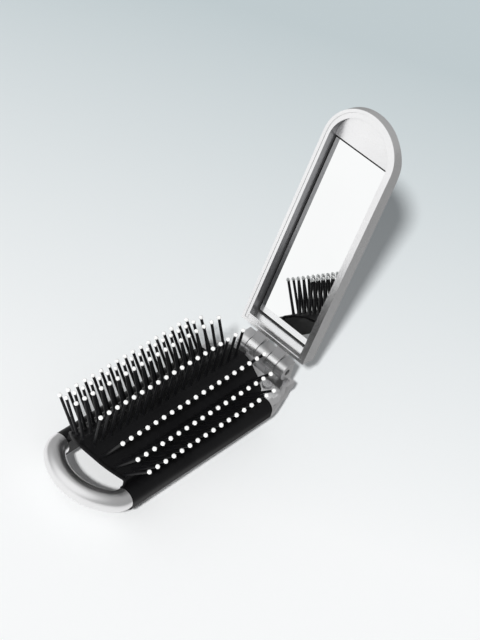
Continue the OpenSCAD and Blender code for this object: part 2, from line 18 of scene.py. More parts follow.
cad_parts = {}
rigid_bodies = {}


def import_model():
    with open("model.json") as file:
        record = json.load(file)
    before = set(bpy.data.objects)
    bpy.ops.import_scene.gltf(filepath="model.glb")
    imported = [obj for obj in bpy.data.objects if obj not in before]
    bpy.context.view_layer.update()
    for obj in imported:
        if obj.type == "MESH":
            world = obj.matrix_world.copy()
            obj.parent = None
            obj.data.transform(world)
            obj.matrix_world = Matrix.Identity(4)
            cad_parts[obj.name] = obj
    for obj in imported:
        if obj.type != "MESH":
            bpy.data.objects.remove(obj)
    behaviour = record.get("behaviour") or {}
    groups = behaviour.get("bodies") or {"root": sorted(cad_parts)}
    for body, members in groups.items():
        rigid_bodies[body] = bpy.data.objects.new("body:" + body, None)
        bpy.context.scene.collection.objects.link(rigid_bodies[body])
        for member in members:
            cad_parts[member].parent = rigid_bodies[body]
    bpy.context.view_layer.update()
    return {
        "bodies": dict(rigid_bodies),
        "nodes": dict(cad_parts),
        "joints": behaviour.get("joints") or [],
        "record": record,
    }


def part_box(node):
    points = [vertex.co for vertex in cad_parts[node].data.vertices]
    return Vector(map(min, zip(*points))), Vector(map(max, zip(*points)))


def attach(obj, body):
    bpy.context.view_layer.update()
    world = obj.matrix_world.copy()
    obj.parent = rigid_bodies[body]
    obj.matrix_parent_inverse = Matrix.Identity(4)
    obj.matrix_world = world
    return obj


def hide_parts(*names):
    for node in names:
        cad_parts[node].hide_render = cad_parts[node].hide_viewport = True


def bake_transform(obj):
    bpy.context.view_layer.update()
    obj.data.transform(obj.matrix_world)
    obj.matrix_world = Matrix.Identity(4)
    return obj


Colour = tuple[float, float, float]
Way = tuple[float, float, float]
Span = tuple[float, float]

LOG = logging.getLogger("hairbrush")
MM = 0.001

# The lid turns about this direction, so it is also the lid's own sideways direction.
ACROSS = Vector((0.0, 1.0, 0.0))

# Nearly all of a noise's values lie in this span.
NOISE_SPAN: Span = (0.3, 0.7)
GRAIN_DEPTH_MM = 0.05
COAT_ROUGHNESS = 0.12

# Loose corners closer than the first are one corner, and faces that meet at less than the
# second angle are one flat face.
WELD_MM = 0.002
FLAT_DEG = 0.4

# Edges sharper than the first angle are rounded, with so many faces across the rounding.
ROUNDED_DEG = 40.0
ROUNDING_FACES = 2

# Edges sharper than these angles stay crisp: on mouldings, on rubber and pins, on the
# loop's tube, and on balls.
MOULDING_CREASE = 35.0
RUBBER_CREASE = 50.0
TUBE_CREASE = 60.0
BALL_CREASE = 80.0


class Side(Enum):
    """The two sides of the brush, seen from the camera."""

    FAR = 1
    NEAR = -1


class RowPlace(Enum):
    """Where a row of pins stands on the pad, and its distance in rows from the middle."""

    CENTRE = 0
    INNER = 1
    MIDDLE = 2
    OUTER = 3


# ---------------------------------------------------------------------------
# Materials
# ---------------------------------------------------------------------------


class NodeTree:
    """A tree of shader nodes, with short calls for the nodes that the looks share."""

    def __init__(self, tree: bpy.types.NodeTree) -> None:
        """Empties a tree.

        Args:
            tree: the node tree of a material or of the world.
        """
        self.tree = tree
        self.tree.nodes.clear()
        self.coordinates = self.add("ShaderNodeTexCoord")

    def add(self, kind: str, **settings: object) -> bpy.types.Node:
        """Adds a node and sets its properties.

        Args:
            kind: the node's type name.
            settings: properties of the node, by name.

        Returns:
            The new node.
        """
        node = self.tree.nodes.new(kind)
        for name, value in settings.items():
            setattr(node, name, value)
        return node

    def link(self, source: bpy.types.NodeSocket, target: bpy.types.NodeSocket) -> None:
        """Joins two sockets."""
        self.tree.links.new(source, target)

    def along(self, place: bpy.types.NodeSocket, way: Way | Vector) -> bpy.types.NodeSocket:
        """Measures how far a place lies along a direction.

        Args:
            place: the coordinates.
            way: the direction.

        Returns:
            The distance.
        """
        node = self.add("ShaderNodeVectorMath", operation="DOT_PRODUCT")
        node.inputs[1].default_value = way
        self.link(place, node.inputs[0])
        return node.outputs["Value"]

    def mapped(
        self,
        value: bpy.types.NodeSocket,
        source: Span,
        result: Span = (0.0, 1.0),
        interpolation: str = "LINEAR",
    ) -> bpy.types.NodeSocket:
        """Maps one span of values to another.

        Args:
            value: the value.
            source: the span that it comes from.
            result: the span that it is mapped to.
            interpolation: how it runs from one end to the other.

        Returns:
            The mapped value.
        """
        node = self.add("ShaderNodeMapRange", interpolation_type=interpolation)
        names = ("From Min", "From Max", "To Min", "To Max")
        for name, number in zip(names, (*source, *result)):
            node.inputs[name].default_value = number
        self.link(value, node.inputs["Value"])
        return node.outputs["Result"]

    def tint(
        self,
        value: bpy.types.NodeSocket,
        low: Colour,
        high: Colour,
        span: Span = NOISE_SPAN,
    ) -> bpy.types.NodeSocket:
        """Runs a colour between two tones.

        Args:
            value: the value that drives the change.
            low: colour where the value is low.
            high: colour where the value is high.
            span: the values at which the two colours stand.

        Returns:
            The colour.
        """
        node = self.add("ShaderNodeValToRGB")
        for stop, place, colour in zip(node.color_ramp.elements, span, (low, high)):
            stop.position = place
            stop.color = (*colour, 1.0)
        self.link(value, node.inputs["Fac"])
        return node.outputs["Color"]

    def by_ray(
        self, plain: bpy.types.NodeSocket, mirrored: bpy.types.NodeSocket
    ) -> bpy.types.NodeSocket:
        """Keeps one look for the camera and the light, and another for what is mirrored.

        Args:
            plain: the shader that the camera and the light meet.
            mirrored: the shader that metal and glass show.

        Returns:
            The whole shader.
        """
        chooser = self.add("ShaderNodeMixShader")
        path = self.add("ShaderNodeLightPath")
        self.link(path.outputs["Is Glossy Ray"], chooser.inputs["Fac"])
        self.link(plain, chooser.inputs[1])
        self.link(mirrored, chooser.inputs[2])
        return chooser.outputs["Shader"]


class NodeSheet(NodeTree):
    """A material's node tree with its surface shader."""

    def __init__(self, name: str) -> None:
        """Makes a node material that holds a bare surface shader.

        Args:
            name: the material's name.
        """
        self.material = bpy.data.materials.new(name)
        self.material.use_nodes = True
        super().__init__(self.material.node_tree)
        self.place = self.coordinates.outputs["Object"]
        self.output = self.add("ShaderNodeOutputMaterial")
        self.shader = self.add("ShaderNodeBsdfPrincipled")
        self.link(self.shader.outputs["BSDF"], self.output.inputs["Surface"])

    def noise(self, scale: float, detail: float, roughness: float) -> bpy.types.NodeSocket:
        """Adds a noise on the object's own coordinates.

        Args:
            scale: features per metre.
            detail: octaves.
            roughness: strength of the finer octaves.

        Returns:
            The noise's value.
        """
        node = self.add("ShaderNodeTexNoise")
        node.inputs["Scale"].default_value = scale
        node.inputs["Detail"].default_value = detail
        node.inputs["Roughness"].default_value = roughness
        self.link(self.place, node.inputs["Vector"])
        return node.outputs["Fac"]

    def bump(self, height: bpy.types.NodeSocket, strength: float, depth_mm: float) -> None:
        """Gives the surface a fine relief.

        Args:
            height: the relief's height, from 0 to 1.
            strength: how much of it shows.
            depth_mm: depth of the relief in millimetres.
        """
        node = self.add("ShaderNodeBump")
        node.inputs["Strength"].default_value = strength
        node.inputs["Distance"].default_value = depth_mm * MM
        self.link(height, node.inputs["Height"])
        self.link(node.outputs["Normal"], self.shader.inputs["Normal"])

    def set(self, **values: object) -> None:
        """Sets sockets of the surface shader by their names, with _ for a space."""
        for name, value in values.items():
            self.shader.inputs[name.replace("_", " ")].default_value = value


@dataclass(frozen=True)
class Finish:
    """A surface finish and the record's slot that it belongs to.

    Attributes:
        name: the material's name.
        slot: material slot of the record; not used.
        dark: the darker tone.
        light: the lighter tone.
        metallic: share of metal in the surface.
        roughness: lowest and highest roughness.
        grain: grains per metre of the fine relief.
        relief: strength of the fine relief.
        cloud: patches per metre of the slow change of tone.
        coat: weight of a clear coat.
        specular: specular level.
    """

    name: str
    slot: str
    dark: Colour
    light: Colour
    metallic: float
    roughness: Span
    grain: float = 6000.0
    relief: float = 0.05
    cloud: float = 60.0
    coat: float = 0.0
    specular: float = 0.5

    def material(self) -> bpy.types.Material:
        """Makes the finish's material on its first use.

        Returns:
            The material.
        """
        made = bpy.data.materials.get(self.name)
        if made is not None:
            return made
        sheet = NodeSheet(self.name)
        cloud = sheet.noise(self.cloud, detail=4.0, roughness=0.55)
        grain = sheet.noise(self.grain, detail=2.0, roughness=0.6)
        colour = sheet.tint(cloud, self.dark, self.light)
        roughness = sheet.mapped(grain, NOISE_SPAN, self.roughness)
        sheet.link(colour, sheet.shader.inputs["Base Color"])
        sheet.link(roughness, sheet.shader.inputs["Roughness"])
        sheet.bump(grain, self.relief, GRAIN_DEPTH_MM)
        sheet.set(Metallic=self.metallic, Specular_IOR_Level=self.specular)
        sheet.set(Coat_Weight=self.coat, Coat_Roughness=COAT_ROUGHNESS)
        return sheet.material


SATIN_SILVER = Finish(
    "satin_silver",
    "silver",
    dark=(0.78, 0.78, 0.785),
    light=(0.86, 0.86, 0.865),
    metallic=0.95,
    roughness=(0.28, 0.36),
    relief=0.02,
)
BRIGHT_SILVER = Finish(
    "soft_silver",
    "bright_silver",
    dark=(0.86, 0.86, 0.865),
    light=(0.93, 0.93, 0.935),
    metallic=0.95,
    roughness=(0.22, 0.31),
    relief=0.025,
)
# Painted shade: a darker copy of the lid's silver, for the tilted tab faces that the light
# leaves grey.
TAB_SILVER_PAINTED_SHADE = Finish(
    "tab_silver",
    "bright_silver",
    dark=(0.26, 0.26, 0.265),
    light=(0.33, 0.33, 0.335),
    metallic=0.90,
    roughness=(0.28, 0.36),
    relief=0.02,
)
# Painted shade: a darker, less metallic copy of the lid's silver for the tray's walls, which
# the light leaves in shade.
TRAY_WALL_PAINTED_SHADE = Finish(
    "tray_wall",
    "bright_silver",
    dark=(0.24, 0.24, 0.25),
    light=(0.31, 0.31, 0.32),
    metallic=0.70,
    roughness=(0.30, 0.40),
    relief=0.025,
)
STEEL = Finish(
    "turned_steel",
    "steel",
    dark=(0.52, 0.52, 0.53),
    light=(0.64, 0.64, 0.65),
    metallic=1.0,
    roughness=(0.24, 0.34),
    grain=3000.0,
)
# Painted shade: the hinge pin's steel is painted near black, so that the pin's hole in the
# knuckle reads as a dark hollow.
HINGE_PIN_PAINTED_SHADE = Finish(
    "sunk_steel",
    "steel",
    dark=(0.020, 0.020, 0.021),
    light=(0.035, 0.035, 0.036),
    metallic=1.0,
    roughness=(0.35, 0.45),
    grain=3000.0,
)
RUBBER = Finish(
    "satin_rubber",
    "rubber",
    dark=(0.0035, 0.0035, 0.0040),
    light=(0.0070, 0.0070, 0.0075),
    metallic=0.0,
    roughness=(0.40, 0.55),
    grain=5000.0,
    relief=0.20,
    specular=0.16,
)
PIN_BLACK = Finish(
    "pin_black",
    "pins",
    dark=(0.0040, 0.0040, 0.0045),
    light=(0.0080, 0.0080, 0.0090),
    metallic=0.0,
    roughness=(0.30, 0.42),
    grain=4000.0,
    relief=0.08,
    specular=0.30,
)
IVORY = Finish(
    "ball_ivory",
    "ivory",
    dark=(0.93, 0.93, 0.91),
    light=(0.97, 0.97, 0.96),
    metallic=0.0,
    roughness=(0.16, 0.24),
    grain=2500.0,
    relief=0.03,
    cloud=600.0,
    coat=0.3,
)
MIRROR = Finish(
    "silvered_glass",
    "mirror",
    dark=(0.93, 0.94, 0.94),
    light=(0.95, 0.96, 0.96),
    metallic=1.0,
    roughness=(0.003, 0.008),
    grain=900.0,
    relief=0.0,
    cloud=30.0,
)
TAPE = Finish(
    "foam_tape",
    "tape",
    dark=(0.006, 0.006, 0.006),
    light=(0.012, 0.012, 0.012),
    metallic=0.0,
    roughness=(0.8, 0.95),
    grain=3000.0,
    relief=0.5,
    specular=0.1,
)


# ---------------------------------------------------------------------------
# Mesh helpers
# ---------------------------------------------------------------------------


def finish_piece(
    name: str, shape: bmesh.types.BMesh, finish: Finish, crease_deg: float = MOULDING_CREASE
) -> bpy.types.Object:
    """Makes a piece from a mesh in the row frame and gives it a finish.

    Args:
        name: the piece's name.
        shape: the mesh in metres; it is freed.
        finish: the piece's finish.
        crease_deg: edges sharper than this angle stay crisp.

    Returns:
        The new object.
    """
    bmesh.ops.recalc_face_normals(shape, faces=shape.faces)
    mesh = bpy.data.meshes.new(name)
    shape.to_mesh(mesh)
    shape.free()
    mesh.shade_smooth()
    mesh.set_sharp_from_angle(angle=math.radians(crease_deg))
    piece = bpy.data.objects.new(name, mesh)
    bpy.context.scene.collection.objects.link(piece)
    mesh.materials.append(finish.material())
    LOG.info("piece %s: %d faces", name, len(mesh.polygons))
    return piece


def round_edges(piece: bpy.types.Object, width_mm: float) -> None:
    """Rounds a piece's sharp edges with a live modifier.

    Args:
        piece: the piece.
        width_mm: width of the rounding in millimetres.
    """
    bevel = piece.modifiers.new("soft_edges", "BEVEL")
    bevel.width = width_mm * MM
    bevel.segments = ROUNDING_FACES
    bevel.limit_method = "ANGLE"
    bevel.angle_limit = math.radians(ROUNDED_DEG)
    bevel.use_clamp_overlap = True
    bevel.harden_normals = True


def eased(share: float) -> float:
    """Runs from 0 to 1 with a soft start and a soft end, and stays level outside them."""
    share = min(1.0, max(0.0, share))
    return share * share * (3 - 2 * share)


@dataclass(frozen=True)
class FacingShade:
    """A darker second finish that paints shade on those faces of a lid moulding that look
    another way.

    Attributes:
        finish: the second finish, darker, which carries the painted shade.
        least: smallest share of the face's normal along the lid's front.
        most: largest share.
        area: smallest face that takes the finish, square mm.
    """

    finish: Finish
    least: float
    most: float
    area: float = 0.0

    # Painted shade: faces whose normal lies in the given span take the darker finish.
    def apply(self, piece: bpy.types.Object, front: Vector) -> None:
        """Gives the chosen faces the second finish, which paints shade on them.

        Args:
            piece: the dressed piece.
            front: the lid's outward normal.
        """
        piece.data.materials.append(self.finish.material())
        for face in piece.data.polygons:
            share = abs(face.normal.dot(front))
            if self.least <= share <= self.most and face.area >= self.area * MM * MM:
                face.material_index = 1


@dataclass
class MouldedPiece:
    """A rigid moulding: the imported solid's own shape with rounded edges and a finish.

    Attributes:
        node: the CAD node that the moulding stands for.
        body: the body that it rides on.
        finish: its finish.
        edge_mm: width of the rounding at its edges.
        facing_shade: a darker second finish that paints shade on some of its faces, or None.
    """

    node: str
    body: str
    finish: Finish
    edge_mm: float
    facing_shade: FacingShade | None = None

    def build(self, frame: dict) -> bpy.types.Object:
        """Copies the solid, joins its loose triangles and rounds its edges.

        Args:
            frame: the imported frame.

        Returns:
            The dressed piece.
        """
        shape = bmesh.new()
        shape.from_mesh(frame["nodes"][self.node].data)
        bmesh.ops.remove_doubles(shape, verts=shape.verts, dist=WELD_MM * MM)
        bmesh.ops.dissolve_limit(
            shape,
            angle_limit=math.radians(FLAT_DEG),
            verts=shape.verts,
            edges=shape.edges,
            use_dissolve_boundaries=False,
        )
        self.reshape(shape, frame)
        piece = finish_piece(f"{self.node}_moulded", shape, self.finish)
        if self.facing_shade is not None:
            self.facing_shade.apply(piece, lid_normal(frame))
        round_edges(piece, self.edge_mm)
        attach(piece, self.body)
        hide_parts(self.node)
        return piece

    def reshape(self, shape: bmesh.types.BMesh, frame: dict) -> None:
        """Leaves the solid's shape as packed; mouldings with a softer form change it here."""


def lid_normal(frame: dict) -> Vector:
    """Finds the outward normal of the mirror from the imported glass.

    Args:
        frame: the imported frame.

    Returns:
        The unit normal of the glass, pointing at the pins.
    """
    glass = frame["nodes"]["mirror"].data
    widest = max(glass.polygons, key=lambda face: face.area)
    normal = widest.normal.copy()
    return normal if normal.x < 0 else -normal


@dataclass(frozen=True)
class LidSpan:
    """The lid's own directions and its reach along them.

    Attributes:
        along: direction from the hinge to the tip.
        front: direction out of the mirror.
        tip: furthest reach along the lid, in metres.
        rim: reach of the rim's front, in metres.
    """

    along: Vector
    front: Vector
    tip: float
    rim: float

    @classmethod
    def of(cls, frame: dict) -> LidSpan:
        """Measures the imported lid.

        Args:
            frame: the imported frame.

        Returns:
            The lid's span.
        """
        front = lid_normal(frame)
        along = ACROSS.cross(front)
        points = [vert.co for vert in frame["nodes"]["lid_liner"].data.vertices]
        tip = max(point.dot(along) for point in points)
        rim = max(point.dot(front) for point in points)
        return cls(along, front, tip, rim)

    @property
    def axes(self) -> tuple[Vector, Vector, Vector]:
        """The lid's three directions: along it, across it and out of the mirror."""
        return self.along, ACROSS, self.front

    @property
    def turn(self) -> Matrix:
        """The turn from the lid's own directions into the row frame."""
        return Matrix(self.axes).transposed().to_4x4()

    def extent(self, frame: dict, node: str) -> tuple[Vector, Vector]:
        """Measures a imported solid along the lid's directions.

        Args:
            frame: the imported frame.
            node: the solid's node.

        Returns:
            Its lowest and its highest corner, in metres.
        """
        points = [vert.co for vert in frame["nodes"][node].data.vertices]
        low = Vector([min(point.dot(axis) for point in points) for axis in self.axes])
        high = Vector([max(point.dot(axis) for point in points) for axis in self.axes])
        return low, high

    def block(self, low: Vector, high: Vector) -> bmesh.types.BMesh:
        """Draws a block that lies square to the lid.

        Args:
            low: lowest corner along the lid's directions.
            high: highest corner along the lid's directions.

        Returns:
            The block's mesh.
        """
        shape = bmesh.new()
        place = Matrix.Translation((low + high) / 2) @ Matrix.Diagonal((*(high - low), 1))
        bmesh.ops.create_cube(shape, size=1.0, matrix=self.turn @ place)
        return shape


@dataclass
class LidMoulding(MouldedPiece):
    """A moulding of the lid, which grows thinner towards its rounded tip.

    Attributes:
        taper_run: length of the thinner stretch, mm.
        taper_level: length at the very tip that stays level again, mm.
        taper: share of the depth that is lost at the tip.
        cuts: number of cuts across the taper, so that long faces can follow it.
        back_run: length of the level stretch before the taper, mm.
        back_cuts: number of cuts across that stretch, which shade its long faces evenly.
    """

    taper_run: float = 15.5
    taper_level: float = 2.0
    taper: float = 0.42
    cuts: int = 10
    back_run: float = 68.0
    back_cuts: int = 34

    def reshape(self, shape: bmesh.types.BMesh, frame: dict) -> None:
        """Draws the back towards the rim near the tip.

        Args:
            shape: the moulding's mesh.
            frame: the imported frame.
        """
        span = LidSpan.of(frame)
        first = span.tip - (self.taper_run + self.taper_level) * MM
        back_step = self.back_run * MM / self.back_cuts
        taper_step = self.taper_run * MM / (self.cuts - 1)
        stations = [first - cut * back_step for cut in range(1, self.back_cuts + 1)]
        stations += [first + cut * taper_step for cut in range(self.cuts)]
        for station in stations:
            bmesh.ops.bisect_plane(
                shape,
                geom=[*shape.verts, *shape.edges, *shape.faces],
                plane_co=span.along * station,
                plane_no=span.along,
            )
        for vert in shape.verts:
            reach = (vert.co.dot(span.along) - first) / (self.taper_run * MM)
            depth = span.rim - vert.co.dot(span.front)
            vert.co += span.front * depth * self.taper * eased(reach)


# ---------------------------------------------------------------------------
# Pad and pins
# ---------------------------------------------------------------------------


@dataclass
class PadArch:
    """The raised pad's section: a crown, a flatter flank and a tight turn down to its foot.

    Attributes:
        crown_radius: radius of the crown, mm.
        inner_lean: lean of the inner rows, degrees.
        outer_lean: lean of the outer rows, degrees.
        foot_lean: lean of the sheet where it meets the rail, degrees.
        shoulder_run: straight run past the outer row, mm.
        middle_step: distance along the sheet from inner to middle row, mm.
        outer_step: distance along the sheet from middle to outer row, mm.
        half_width: half width of the pad at its feet, mm.
        rise: height of the crown above the feet, mm.
        thickness: thickness of the sheet, mm.
        pin_pitch: distance between pins, mm.
        long_row_pins: pins in each of the three middle rows.
        hinge_bulge: how far the hinge end's middle stands out past its corners, mm.
        rib_height: height of the low rib that a row stands on, mm.
        rib_half: half width of that rib, mm.
        lip: the rolled loop end, as distances from the end and heights, mm.
        faces_across: faces across a band.
        faces_along: faces along a band.
        crown_z: height of the crown, mm.
        loop_x: X of the pad's loop end on its middle line, mm.
        hinge_x: X of its hinge end there, mm.
        rail_x: X at which the sheet's folded edges begin, mm.
        crown_arc: distance along the sheet from the crown to an inner row, mm.
        flank_radius: radius of the flank, mm.
        turn_radius: radius of the tight turn, mm.
        turn_start: Y and Z at which that turn begins, mm.
    """

    crown_radius: float = 9.3
    inner_lean: float = 27.4
    outer_lean: float = 42.8
    foot_lean: float = 88.0
    shoulder_run: float = 0.6
    middle_step: float = 4.5
    outer_step: float = 3.55
    half_width: float = 11.85
    rise: float = 10.0
    thickness: float = 0.8
    pin_pitch: float = 3.5
    long_row_pins: int = 19
    hinge_bulge: float = 1.8
    rib_height: float = 0.22
    rib_half: float = 0.95
    lip: tuple[Span, ...] = (
        (0.0, -0.12),
        (0.15, 0.22),
        (0.45, 0.42),
        (0.85, 0.42),
        (1.15, 0.22),
        (1.45, 0.02),
        (1.8, 0.0),
    )
    faces_across: int = 14
    faces_along: int = 44
    crown_z: float = field(init=False)
    loop_x: float = field(init=False)
    hinge_x: float = field(init=False)
    rail_x: float = field(init=False)
    crown_arc: float = field(init=False)
    flank_radius: float = field(init=False)
    turn_radius: float = field(init=False)
    turn_start: Span = field(init=False)

    def __post_init__(self) -> None:
        """Works out the section's arcs from the pad's box and the rows' leans."""
        low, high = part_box("bristle_sheet")
        self.crown_z = high.z / MM
        self.loop_x, self.hinge_x = low.x / MM, high.x / MM
        self.rail_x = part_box("sheet_edge_far")[0].x / MM
        inner, outer = math.radians(self.inner_lean), math.radians(self.outer_lean)
        foot = math.radians(self.foot_lean)
        self.crown_arc = self.crown_radius * inner
        self.flank_radius = (self.middle_step + self.outer_step) / (outer - inner)
        end_y = self.crown_radius * math.sin(inner)
        end_y += self.flank_radius * (math.sin(outer) - math.sin(inner))
        drop = self.crown_radius * (1 - math.cos(inner))
        drop += self.flank_radius * (math.cos(inner) - math.cos(outer))
        start_y = end_y + self.shoulder_run * math.cos(outer)
        start_z = self.crown_z - drop - self.shoulder_run * math.sin(outer)
        self.turn_start = (start_y, start_z)
        self.turn_radius = (self.half_width - start_y) / (math.sin(foot) - math.sin(outer))

    @property
    def foot_z(self) -> float:
        """Height of the pad's foot, mm."""
        return self.crown_z - self.rise

    @property
    def outer_run(self) -> float:
        """Distance along the sheet from the crown to an outer row, mm."""
        return self.crown_arc + self.middle_step + self.outer_step

    @property
    def foot_run(self) -> float:
        """Distance along the sheet from the crown to the end of the tight turn, mm."""
        turn = math.radians(self.foot_lean - self.outer_lean) * self.turn_radius
        return self.outer_run + self.shoulder_run + turn

    def place(self, run: float, depth: float = 0.0) -> tuple[float, float, float]:
        """Finds a point of the section.

        Args:
            run: distance along the outer face from the crown, mm, positive on the far side.
            depth: depth below the outer face, mm.

        Returns:
            Y and Z in mm, and the surface's lean in radians.
        """
        side, length = math.copysign(1.0, run), abs(run)
        inner, outer = math.radians(self.inner_lean), math.radians(self.outer_lean)
        if length <= self.crown_arc:
            lean = length / self.crown_radius
            y = self.crown_radius * math.sin(lean)
            z = self.crown_z - self.crown_radius * (1 - math.cos(lean))
        elif length <= self.outer_run:
            lean = inner + (length - self.crown_arc) / self.flank_radius
            y = self.crown_radius * math.sin(inner)
            y += self.flank_radius * (math.sin(lean) - math.sin(inner))
            z = self.crown_z - self.crown_radius * (1 - math.cos(inner))
            z -= self.flank_radius * (math.cos(inner) - math.cos(lean))
        elif length <= self.outer_run + self.shoulder_run:
            lean = outer
            y, z, _ = self.place(self.outer_run)
            y += (length - self.outer_run) * math.cos(outer)
            z -= (length - self.outer_run) * math.sin(outer)
        else:
            lean = outer + (length - self.outer_run - self.shoulder_run) / self.turn_radius
            lean = min(lean, math.radians(self.foot_lean))
            y = self.turn_start[0] + self.turn_radius * (math.sin(lean) - math.sin(outer))
            z = self.turn_start[1] - self.turn_radius * (math.cos(outer) - math.cos(lean))
            z -= max(0.0, length - self.foot_run)
        return side * (y - depth * math.sin(lean)), z - depth * math.cos(lean), side * lean

    def loop_end(self, y: float) -> float:
        """X of the pad's rounded loop end, mm, at a distance y from the middle."""
        return self.loop_x + (self.rail_x - self.loop_x) * (y / self.half_width) ** 2

    def hinge_end(self, y: float) -> float:
        """X of the pad's rounded hinge end, mm, at a distance y from the middle."""
        return self.hinge_x - self.hinge_bulge * (y / self.half_width) ** 2

    def row_run(self, place: RowPlace) -> float:
        """Finds a row on the sheet.

        Args:
            place: the row's place.

        Returns:
            The distance along the sheet from the crown to the row, mm.
        """
        return {
            RowPlace.CENTRE: 0.0,
            RowPlace.INNER: self.crown_arc,
            RowPlace.MIDDLE: self.crown_arc + self.middle_step,
            RowPlace.OUTER: self.outer_run,
        }[place]

    def row_pins(self, place: RowPlace) -> int:
        """Number of pins in a row."""
        return self.long_row_pins - max(0, place.value - 1)

    def band(
        self, name: str, low: float, high: float, rib_at: float | None = None
    ) -> bpy.types.Object:
        """Bends a flat grid over the arch and gives it the sheet's thickness.

        Args:
            name: the piece's name.
            low: start along the sheet, mm.
            high: end along the sheet, mm.
            rib_at: where a row's low rib runs along the band, mm, or None for a plain band.

        Returns:
            The band.
        """
        shape = bmesh.new()
        bmesh.ops.create_grid(
            shape, x_segments=self.faces_along, y_segments=self.faces_across, size=1.0
        )
        lip_faces = len(self.lip) - 1
        for vert in shape.verts:
            run = low + (high - low) * (vert.co.y + 1) / 2
            station = round((vert.co.x + 1) / 2 * self.faces_along)
            y, _, _ = self.place(run)
            start, end = self.loop_end(y), self.hinge_end(y)
            if station <= lip_faces:
                x, rib = start + self.lip[station][0], self.lip[station][1]
            else:
                start += self.lip[-1][0]
                share = (station - lip_faces) / (self.faces_along - lip_faces)
                x, rib = start + (end - start) * share, 0.0
                if rib_at is not None:
                    rib = self.rib_height * math.exp(-(((run - rib_at) / self.rib_half) ** 4))
            y, z, _ = self.place(run, -rib)
            vert.co = Vector((x, y, z)) * MM
        bmesh.ops.recalc_face_normals(shape, faces=shape.faces)
        if sum(face.normal.z for face in shape.faces) < 0:
            bmesh.ops.reverse_faces(shape, faces=shape.faces)
        bmesh.ops.solidify(shape, geom=list(shape.faces), thickness=self.thickness * MM)
        return finish_piece(name, shape, RUBBER, RUBBER_CREASE)


@dataclass
class PinShape:
    """One moulded pin and its ball.

    Attributes:
        length: from the pad to the middle of the ball, mm.
        profile: radius and height of the shaft's rings, mm.
        sides: faces round the shaft.
        ball_radius: radius of the ball, mm.
        ball_squash: the ball's length along the pin, as a share of its width.
    """

    length: float = 12.0
    profile: tuple[Span, ...] = (
        (0.78, -0.05),
        (0.68, 0.18),
        (0.56, 0.55),
        (0.52, 1.1),
        (0.49, 6.5),
        (0.47, 11.5),
    )
    sides: int = 8
    ball_radius: float = 0.75
    ball_squash: float = 0.96

    def shaft(self) -> bmesh.types.BMesh:
        """Draws one shaft at the origin by extruding rings up from its root.

        Returns:
            The shaft's mesh, in metres.
        """
        shape = bmesh.new()
        root_radius, root_z = self.profile[0]
        verts = bmesh.ops.create_circle(
            shape, cap_ends=True, segments=self.sides, radius=root_radius * MM
        )["verts"]
        bmesh.ops.translate(shape, verts=verts, vec=(0, 0, root_z * MM))
        cap = list({face for vert in verts for face in vert.link_faces})
        for (low_r, low_z), (high_r, high_z) in zip(self.profile, self.profile[1:]):
            grown = bmesh.ops.extrude_face_region(shape, geom=cap)["geom"]
            bmesh.ops.delete(shape, geom=cap, context="FACES_ONLY")
            verts = [item for item in grown if isinstance(item, bmesh.types.BMVert)]
            cap = [item for item in grown if isinstance(item, bmesh.types.BMFace)]
            bmesh.ops.translate(shape, verts=verts, vec=(0, 0, (high_z - low_z) * MM))
            grow = (high_r / low_r, high_r / low_r, 1)
            middle = Matrix.Translation((0, 0, -high_z * MM))
            bmesh.ops.scale(shape, verts=verts, vec=grow, space=middle)
        return shape

    def ball(self) -> bmesh.types.BMesh:
        """Draws one ball at the height of a pin's end, a little flattened along the pin.

        Returns:
            The ball's mesh, in metres.
        """
        shape = bmesh.new()
        lift = Matrix.Translation((0, 0, self.length * MM))
        bmesh.ops.create_icosphere(
            shape,
            subdivisions=2,
            radius=self.ball_radius * MM,
            matrix=lift @ Matrix.Diagonal((1, 1, self.ball_squash, 1)),
        )
        return shape


def repeated(template: bmesh.types.BMesh, places: list[Matrix]) -> bmesh.types.BMesh:
    """Copies a small shape to many places.

    Args:
        template: the shape at the origin; it is freed.
        places: where the copies go.

    Returns:
        One mesh with all the copies.
    """
    source = bpy.data.meshes.new("template")
    template.to_mesh(source)
    template.free()
    shape = bmesh.new()
    for place in places:
        drawn = len(shape.verts)
        shape.from_mesh(source)
        shape.verts.ensure_lookup_table()
        bmesh.ops.transform(shape, matrix=place, verts=shape.verts[drawn:])
    bpy.data.meshes.remove(source)
    return shape


